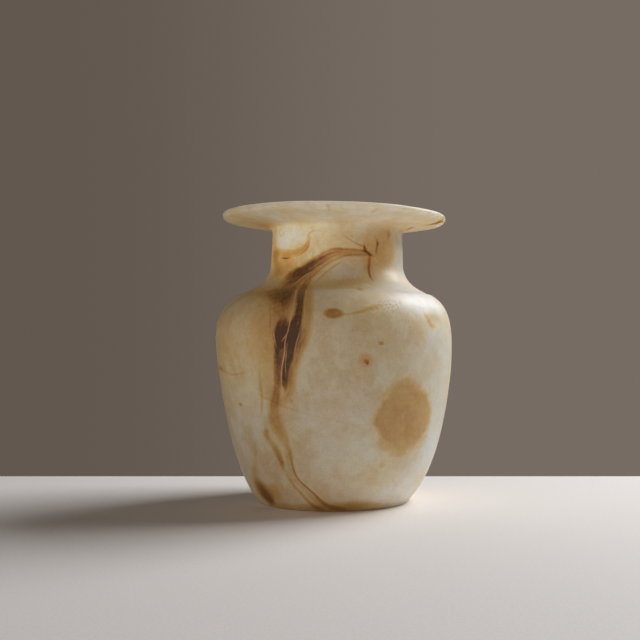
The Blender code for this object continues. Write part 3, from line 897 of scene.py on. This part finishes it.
# Each noise: scale, detail, roughness and distortion
BROAD_CLOUD = (26.0, 3.0, 0.5, 0.4)
SMALL_CLOUD = (95.0, 4.0, 0.6, 0.3)
ROSY_CLOUD = (62.0, 4.0, 0.6, 0.5)
MOTTLE = (330.0, 4.0, 0.65, 0.6)
GRAIN = (1500.0, 3.0, 0.6)
RAGGED_FINE = (480.0, 3.0, 0.6)
RAGGED_COARSE = (130.0, 3.0, 0.5)
broad_cloud = nodes.noise(place, *BROAD_CLOUD)
small_cloud = nodes.noise(place, *SMALL_CLOUD)
mottle = nodes.noise(place, *MOTTLE)
ragged_fine = nodes.minus(nodes.noise(place, *RAGGED_FINE), 0.5)
ragged_coarse = nodes.minus(nodes.noise(place, *RAGGED_COARSE), 0.5)
print("height and angle ready on", len(nodes.tree.nodes), "nodes")

# %% Iron in the strokes
RUSTY = ("arch_core", "dark_mark", "red_vein", "red_glow", "small_rim_stain", "hook_dash", "left_tongue")


def use_stroke(name, softness, wobble, streaky=0.0):
    """The mask of one stroke in the stone material."""
    stroke = nodes.add("ShaderNodeAttribute", {"attribute_name": name}).outputs["Vector"]
    mask = nodes.add(
        "ShaderNodeGroup", {"node_tree": stroke_mask},
        Stroke=stroke, Softness=softness, Wobble=wobble, Ragged=ragged_fine,
    ).outputs["Mask"]
    if not streaky:
        return mask
    streak = nodes.add("ShaderNodeGroup", {"node_tree": streaks}, Stroke=stroke).outputs["Streak"]
    return nodes.times(mask, nodes.times_plus(streak, streaky, 1.0), clamp=True)


untouched = None
rust = None
for name, look in looks.items():
    mask = use_stroke(name, *look)
    rest = nodes.minus(1.0, mask)
    untouched = rest if untouched is None else nodes.times(untouched, rest)
    if name in RUSTY:
        rust = mask if rust is None else nodes.plus(rust, mask)
print("strokes:", len(looks), "of them rusty:", len(RUSTY))

# %% Iron in the spots
# Each spot: angle, height, half width, half height, softness, wobble, iron, and sometimes its
# number of corners and their depth
SPOTS = {
    "shoulder_oval": (-0.9, 96.7, 4.2, 2.3, 0.4, 0.6, 0.58),
    "great_blotch": (37.2, 46.8, 18.8, 13.8, 0.13, 0.4, 0.46, 6, -0.018),
    "blotch_cap": (34.4, 57.2, 10.8, 8.4, 0.42, 0.6, 0.41),
    "blotch_skirt": (37.4, 37.4, 14, 8.6, 0.5, 0.5, 0.4),
    "blotch_trail": (26.5, 25.5, 4, 3.4, 0.9, 0.8, 0.14),
    "red_speck": (13.8, 74.2, 1.7, 1.3, 0.6, 0.7, 0.6),
    "red_speck_core": (14.3, 73.4, 0.8, 0.9, 0.6, 0.6, 0.8),
    "red_speck_glow": (13.9, 74.6, 3.6, 3.6, 0.9, 0.6, 0.3),
    "second_speck": (20.7, 82.7, 1.3, 0.8, 0.7, 0.8, 0.5),
    "second_speck_glow": (20.3, 83.5, 2.6, 2.4, 0.9, 0.6, 0.12),
    "third_speck": (7.6, 89, 0.8, 0.6, 0.7, 0.8, 0.2),
    "fourth_speck": (6.3, 85.1, 1.6, 2.4, 0.9, 0.8, 0.14),
    "shoulder_speck": (14.6, 108.8, 1.6, 0.9, 0.7, 0.8, 0.36),
    "left_speck": (-52.7, 52.4, 1.7, 0.9, 0.8, 0.8, 0.45),
    "left_pink": (-48.7, 50.2, 5.9, 3.4, 0.9, 0.8, 0.14),
    "line_end_dot": (-20.7, 55.2, 0.9, 0.9, 0.7, 0.5, 0.24),
    "low_patch": (25.9, 24, 2, 2.2, 0.8, 0.8, 0.2),
    "lower_patch": (21, 20, 4.5, 2.4, 0.9, 0.8, 0.1),
    "right_yellow": (66, 12, 3, 5, 0.9, 0.6, 0.1),
    "chip_stain": (56, 94, 6, 4, 0.7, 0.8, 0.14),
    "shoulder_pits": (26, 101, 6.5, 2.4, 0.8, 0.8, 0.08),
    "rim_speck": (-3.2, 147.2, 0.9, 1.2, 0.7, 0.6, 0.25),
    "rim_speck_left": (-46.3, 147.9, 1.4, 1, 0.8, 0.6, 0.18),
    "rim_speck_far_left": (-66.9, 146.8, 2.2, 0.9, 0.8, 0.6, 0.2),
    "rim_speck_right": (20, 146.2, 1.2, 0.8, 0.8, 0.6, 0.24),
    # Painted shade: the next spot darkens the left of the rim, the side away from the window, through the
    # iron ramp.
    "rim_left_painted_shade": (-66, 145, 40, 9, 0.8, 0.8, 0.1),
    "left_body_tan": (-62, 84, 26, 26, 0.9, 0.9, 0.14),
    "upper_middle_tan": (4, 90, 22, 14, 0.9, 0.5, 0.1),
    "back_blotch": (128, 62, 13, 8, 0.8, 0.9, 0.24, 3, 0.12),
    "back_spot": (-150, 84, 4, 3, 0.4, 0.8, 0.4),
    "back_low_stain": (-142, 14, 14, 8, 0.8, 0.8, 0.26),
}
spots = None
for name, (at_angle, at_height, wide, tall, softness, wobble, amount, *corners) in SPOTS.items():
    corner_count, corner_depth = corners or (0, 0.0)
    mask = nodes.add(
        "ShaderNodeGroup", {"node_tree": spot_mask, "label": name},
        Angle=angle, Height=height, Radius=radius, Ragged=ragged_coarse,
        Centre_Angle=at_angle, Centre_Height=at_height, Half_Width=wide, Half_Height=tall,
        Softness=softness, Wobble=wobble, Corners=corner_count, Corner_Depth=corner_depth,
    )
    stain = nodes.times(mask.outputs["Mask"], amount)
    spots = stain if spots is None else nodes.math("MAXIMUM", spots, stain)
    if name.startswith("red"):
        rust = nodes.plus(rust, stain)
untouched = nodes.times(untouched, nodes.minus(1.0, spots))
print("spots:", len(SPOTS))

# %% Seams without iron, and a trace of iron everywhere
RAGGED_IRON = 0.5
SEAM_CLEARS = 0.55
SEAM_SOFTNESS = 0.4
SEAM_WOBBLE = 0.4
# Each trace: the pattern's low and high value, and the iron at each
CLOUD_IRON = (0.35, 0.8, 0.024, 0.085)
MOTTLE_IRON = (0.5, 0.72, 0.015, 0.05)
LOW_IRON = (10.0, 52.0, 0.012, 0.0)

seam = None
for name in PALE_SEAMS:
    mask = use_stroke(name, SEAM_SOFTNESS, SEAM_WOBBLE)
    seam = mask if seam is None else nodes.math("MAXIMUM", seam, mask)
iron = nodes.minus(1.0, untouched)
iron = nodes.times(iron, nodes.times_plus(ragged_fine, RAGGED_IRON, 1.0))
clear = nodes.minus(1.0, nodes.times(seam, SEAM_CLEARS))
iron = nodes.times(iron, clear)
trace = nodes.smooth(small_cloud, *CLOUD_IRON)
trace = nodes.plus(trace, nodes.smooth(mottle, *MOTTLE_IRON))
trace = nodes.plus(trace, nodes.smooth(height, *LOW_IRON))
iron = nodes.plus(iron, trace)
print("seams:", len(PALE_SEAMS))

# %% The colour of the stone
CREAM = srgb(237, 220, 195)
TAN = srgb(223, 198, 163)
MILK_AND_GLOW = srgb(246, 233, 213)
PEARL_AND_PAINTED_LIGHT = srgb(249, 246, 243)
# The two pit colours are painted shade inside each pit and a painted highlight round it.
PIT_SHADE = srgb(120, 98, 76)
PIT_HIGHLIGHT = srgb(252, 249, 243)
ROSE = srgb(234, 214, 194)
SEAM = srgb(196, 180, 156)
# Painted shade: a grey-blue tint that darkens the rim from 140 mm up, most at the lip, for the shade
# under the rim.
RIM_PAINTED_SHADE = (0.71, 0.79, 0.90, 1.0)
RUST = (1.05, 0.74, 0.6, 1.0)
# Each step: a pattern's low and high value, and the result at each
TAN_STEP = (0.4, 0.6)
ROSE_STEP = (0.48, 0.66, 0.0, 0.8)
MILK_STEP = (0.52, 0.74, 0.0, 0.5)
GRAIN_STEP = (0.3, 0.7, 0.94, 1.06)
MOTTLE_STEP = (0.3, 0.7, 0.97, 1.05)
PIT_STEP = (0.36, 0.16)
PIT_HIGHLIGHT_STEP = (0.5, 0.7)
BROAD_SHARE = 0.4
PATCHY = 2.4
RIM_LOW = 140.0
RIM_HIGH = 146.5
RIM_SHARE = 0.95
RUST_SHARE = 1.2
SEAM_SHARE = 0.32
PIT_SCALE = 950.0
PIT_SHADE_SHARE = 0.6
PIT_HIGHLIGHT_SHARE = 0.7
# How much light the iron lets through: iron, colour
IRON_RAMP = (
    (0.0, (1.0, 1.0, 1.0)),
    (0.12, (0.97, 0.90, 0.78)),
    (0.3, (0.88, 0.71, 0.44)),
    (0.5, (0.73, 0.53, 0.26)),
    (0.7, (0.53, 0.32, 0.12)),
    (0.85, (0.31, 0.165, 0.05)),
    (1.0, (0.13, 0.062, 0.02)),
)

drift = nodes.times_plus(small_cloud, 1.0 - BROAD_SHARE, nodes.times(broad_cloud, BROAD_SHARE))
colour = nodes.blend(nodes.smooth(drift, *TAN_STEP), CREAM, TAN)
rosy = nodes.smooth(nodes.noise(place, *ROSY_CLOUD), *ROSE_STEP)
colour = nodes.blend(rosy, colour, ROSE)
clouds = nodes.add("ShaderNodeAttribute", {"attribute_name": "clouds"}).outputs["Vector"]
clouds = nodes.add("ShaderNodeSeparateXYZ", Vector=clouds).outputs
uneven = nodes.times_plus(ragged_coarse, PATCHY, 1.0)
milk_and_glow = nodes.smooth(small_cloud, *MILK_STEP)
milk_and_glow = nodes.math("MAXIMUM", milk_and_glow, nodes.times(clouds["X"], uneven, clamp=True))
pearl_and_painted_light = nodes.times(clouds["Y"], uneven, clamp=True)
pit_area = nodes.times(clouds["Z"], uneven, clamp=True)

# The milky and pearly blends are whiter stone and, in a few places, painted glow and painted light.
colour = nodes.blend(milk_and_glow, colour, MILK_AND_GLOW)
colour = nodes.blend(pearl_and_painted_light, colour, PEARL_AND_PAINTED_LIGHT)
grain = nodes.noise(place, *GRAIN)
speckle = nodes.smooth(grain, *GRAIN_STEP)
speckle = nodes.times(speckle, nodes.smooth(mottle, *MOTTLE_STEP))
speckle = nodes.add("ShaderNodeCombineColor", Red=speckle, Green=speckle, Blue=speckle).outputs[0]
colour = nodes.blend(1.0, colour, speckle, "MULTIPLY")
ramp = nodes.add("ShaderNodeValToRGB", Fac=iron)
ramp.color_ramp.interpolation = "EASE"
elements = ramp.color_ramp.elements
for index, (position, tint) in enumerate(IRON_RAMP):
    element = elements[index] if index < 2 else elements.new(position)
    element.position = position
    element.color = (*tint, 1.0)
colour = nodes.blend(1.0, colour, ramp.outputs["Color"], "MULTIPLY")
# Painted shade over the rim, growing from the neck towards the lip.
rim_painted_shade = nodes.smooth(height, RIM_LOW, RIM_HIGH, 0.0, RIM_SHARE)
colour = nodes.blend(rim_painted_shade, colour, nodes.blend(1.0, colour, RIM_PAINTED_SHADE, "MULTIPLY"))
reddening = nodes.times(rust, RUST_SHARE, clamp=True)
colour = nodes.blend(reddening, colour, nodes.blend(1.0, colour, RUST, "MULTIPLY"))
colour = nodes.blend(nodes.times(seam, SEAM_SHARE), colour, SEAM)
# The pits are painted as well as bumped: painted shade inside each pit and a painted highlight round it.
pits = nodes.add("ShaderNodeTexVoronoi", Vector=place, Scale=PIT_SCALE).outputs["Distance"]
pit_depth = nodes.times(nodes.smooth(pits, *PIT_STEP), pit_area)
pit_highlights = nodes.times(nodes.smooth(pits, *PIT_HIGHLIGHT_STEP), pit_area)
colour = nodes.blend(nodes.times(pit_depth, PIT_SHADE_SHARE), colour, PIT_SHADE)
colour = nodes.blend(nodes.times(pit_highlights, PIT_HIGHLIGHT_SHARE), colour, PIT_HIGHLIGHT)
print("iron ramp stops:", [round(e.position, 2) for e in elements])

# %% [markdown]
# ## Tool marks and polish
# The vase was turned under an abrasive, which leaves fine rings round the shoulder and the neck, and
# the stone has a grain of tiny crystals. Both are too small for the mesh, so a Bump node carries
# them. The polish has dulled unevenly, which the roughness follows.

# %% Bump, roughness and the shader
RING_DRIFT = 0.012
RING_NOISE = (0.85, 3.0, 0.6)
RING_HEIGHT = 0.9
SHOULDER_RINGS = 1.3
POLISHED = 0.42
DULLED = 0.56
PIT_DULLS = 0.1
# How high each pattern stands beside the rings
RELIEF = ((grain, 0.2), (mottle, 0.5), (small_cloud, 0.5), (pit_depth, -4.0))
BUMP_DISTANCE = 0.12 * MM
BUMP_STRENGTH = 0.55
GLOW_DEPTH = 24 * MM
GLOW_TINT = (1.0, 0.89, 0.73)

outline_way = nodes.minus(height, radius)
round_way = nodes.times(angle, RING_DRIFT)
ring_place = nodes.add("ShaderNodeCombineXYZ", X=outline_way, Y=round_way).outputs["Vector"]
rings = nodes.noise(ring_place, *RING_NOISE)
on_shoulder = nodes.times(nodes.smooth(height, 97.0, 104.0), nodes.smooth(height, 120.0, 114.0))
relief = nodes.times(rings, nodes.times_plus(on_shoulder, SHOULDER_RINGS, RING_HEIGHT))
for pattern, weight in RELIEF:
    relief = nodes.times_plus(pattern, weight, relief)
bump = nodes.add("ShaderNodeBump", Height=relief, Strength=BUMP_STRENGTH, Distance=BUMP_DISTANCE)
roughness = nodes.smooth(small_cloud, 0.3, 0.75, POLISHED, DULLED)
roughness = nodes.times_plus(pit_area, PIT_DULLS, roughness)

shader = nodes.add(
    "ShaderNodeBsdfPrincipled",
    Base_Color=colour,
    Roughness=roughness,
    Normal=bump.outputs["Normal"],
    IOR=1.52,
    Specular_IOR_Level=0.5,
    Subsurface_Weight=1.0,
    Subsurface_Radius=GLOW_TINT,
    Subsurface_Scale=GLOW_DEPTH,
)
nodes.add("ShaderNodeOutputMaterial", Surface=shader.outputs["BSDF"])
vase.data.materials.append(stone)
print("stone nodes:", len(stone.node_tree.nodes))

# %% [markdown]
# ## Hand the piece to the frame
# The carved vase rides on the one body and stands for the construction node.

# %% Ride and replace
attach(vase, "root")
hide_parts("vase")
print("triangles:", sum(len(face.vertices) - 2 for face in vase.data.polygons))

# %% [markdown]
# ## A plain floor
# The vase stands on a pale floor with a straight far edge. It is only the stage. A plane is drawn, a
# Solidify modifier gives it thickness, and a Bevel modifier softens its edges.

# %% Lay the floor
FLOOR_WIDTH = 2.4
FLOOR_FRONT = -0.9
FLOOR_BACK = 0.098
FLOOR_THICKNESS = 0.03
FLOOR_EDGE = 1.5 * MM
FLOOR_GRAIN = (900.0, 2.0, 0.6)
FLOOR_ROUGHNESS = 0.75

bpy.ops.object.select_all(action="DESELECT")
bpy.ops.mesh.primitive_plane_add(size=1.0, location=(0.0, (FLOOR_FRONT + FLOOR_BACK) / 2, 0.0))
floor = bpy.context.object
floor.name = "floor"
floor.scale = (FLOOR_WIDTH, FLOOR_BACK - FLOOR_FRONT, 1.0)
bpy.ops.object.transform_apply(location=True, rotation=True, scale=True)
apply_modifier(floor, "SOLIDIFY", thickness=FLOOR_THICKNESS, offset=-1.0)
apply_modifier(floor, "BEVEL", width=FLOOR_EDGE, segments=3)
pale = bpy.data.materials.new("pale_floor")
pale.use_nodes = True
floor_nodes = Nodes(pale.node_tree)
floor_shader = pale.node_tree.nodes["Principled BSDF"]
floor_place = floor_nodes.add("ShaderNodeTexCoord").outputs["Object"]
floor_grain = floor_nodes.noise(floor_place, *FLOOR_GRAIN)
floor_grain = floor_nodes.smooth(floor_grain, 0.3, 0.7)
floor_colour = floor_nodes.blend(floor_grain, srgb(236, 234, 233), srgb(242, 241, 240))
floor_nodes.feed(floor_shader.inputs["Base Color"], floor_colour)
floor_shader.inputs["Roughness"].default_value = FLOOR_ROUGHNESS
floor.data.materials.append(pale)
print("floor from", FLOOR_FRONT, "to", FLOOR_BACK, "m")

# %% [markdown]
# ## Light and camera
# One large soft window stands to the right and a little behind, at the height of the afternoon sun.
# Two weak lights stand for the room in front and the wall on the left, which throw some of the
# window's light back, and the surrounding air is a quiet grey-brown. The camera is level, a little
# over half a metre away, and its shift places the vase in the picture as the photographer did.

# %% Light the stone
WINDOW_TURN = math.radians(28)
WINDOW_LIFT = math.radians(42)
WINDOW_DISTANCE = 1.1
WINDOW_SIZE = 0.7
WINDOW_POWER = 12.9
WINDOW_TINT = (1.0, 0.99, 0.985)
ROOM_DISTANCE = 1.6
ROOM_SIZE = 1.2
ROOM_TINT = (1.0, 0.9, 0.8)
FRONT_POWER = 5.0
LEFT_POWER = 3.0
FROM_FRONT = Vector((-0.15, -0.97, 0.15))
FROM_LEFT = Vector((-0.9, -0.45, 0.2))
AIR_STRENGTH = 0.3
AIR_COLOUR = srgb(116, 105, 97)
WALL_LEFT = srgb(98, 88, 79)
WALL_RIGHT = srgb(119, 108, 99)
AIM = Vector((0.0, 0.0, 0.07))


def soft_light(name, direction, distance, size, power, tint):
    """A square area light that looks at the vase from this direction."""
    data = bpy.data.lights.new(name, "AREA")
    data.shape = "SQUARE"
    data.size = size
    data.energy = power
    data.color = tint
    light = bpy.data.objects.new(name, data)
    bpy.context.scene.collection.objects.link(light)
    light.location = AIM + direction.normalized() * distance
    light.rotation_euler = direction.to_track_quat("Z", "Y").to_euler()
    return light


window = Vector((
    math.cos(WINDOW_TURN) * math.cos(WINDOW_LIFT),
    math.sin(WINDOW_TURN) * math.cos(WINDOW_LIFT),
    math.sin(WINDOW_LIFT),
))
soft_light("window", window, WINDOW_DISTANCE, WINDOW_SIZE, WINDOW_POWER, WINDOW_TINT)
soft_light("room_in_front", FROM_FRONT, ROOM_DISTANCE, ROOM_SIZE, FRONT_POWER, ROOM_TINT)
soft_light("wall_on_the_left", FROM_LEFT, ROOM_DISTANCE, ROOM_SIZE, LEFT_POWER, ROOM_TINT)

world = bpy.data.worlds.new("quiet_room")
world.use_nodes = True
backdrop = world.node_tree.nodes["Background"]
room = Nodes(world.node_tree)
looking = room.add("ShaderNodeTexCoord").outputs["Generated"]
sideways = room.add("ShaderNodeSeparateXYZ", Vector=looking).outputs["X"]
wall = room.blend(room.smooth(sideways, -0.24, 0.12), WALL_LEFT, WALL_RIGHT)
room.feed(backdrop.inputs["Color"], wall)
air = room.add("ShaderNodeBackground", Color=AIR_COLOUR, Strength=AIR_STRENGTH)
seen = room.add("ShaderNodeLightPath").outputs["Is Camera Ray"]
either = room.add("ShaderNodeMixShader", Fac=seen)
room.feed(either.inputs[1], air.outputs["Background"])
room.feed(either.inputs[2], backdrop.outputs["Background"])
room.feed(world.node_tree.nodes["World Output"].inputs["Surface"], either.outputs["Shader"])
bpy.context.scene.world = world
bpy.context.scene.view_settings.view_transform = "Standard"

# %% Place the camera
PICTURE = 640
AXIS_COLUMN = 335.4
HORIZON_ROW = 339.0
CAMERA_DISTANCE = 0.5616
CAMERA_HEIGHT = 0.0847
camera_data = bpy.data.cameras.new("camera")
camera_data.lens = 60.0
camera_data.sensor_width = 36.0
camera_data.shift_x = (PICTURE / 2 - AXIS_COLUMN) / PICTURE
camera_data.shift_y = (HORIZON_ROW - PICTURE / 2) / PICTURE
camera = bpy.data.objects.new("camera", camera_data)
bpy.context.scene.collection.objects.link(camera)
camera.location = (0.0, -CAMERA_DISTANCE, CAMERA_HEIGHT)
camera.rotation_euler = (math.radians(90), 0.0, 0.0)
bpy.context.scene.camera = camera
print("camera at", tuple(round(v, 3) for v in camera.location))

# %% [markdown]
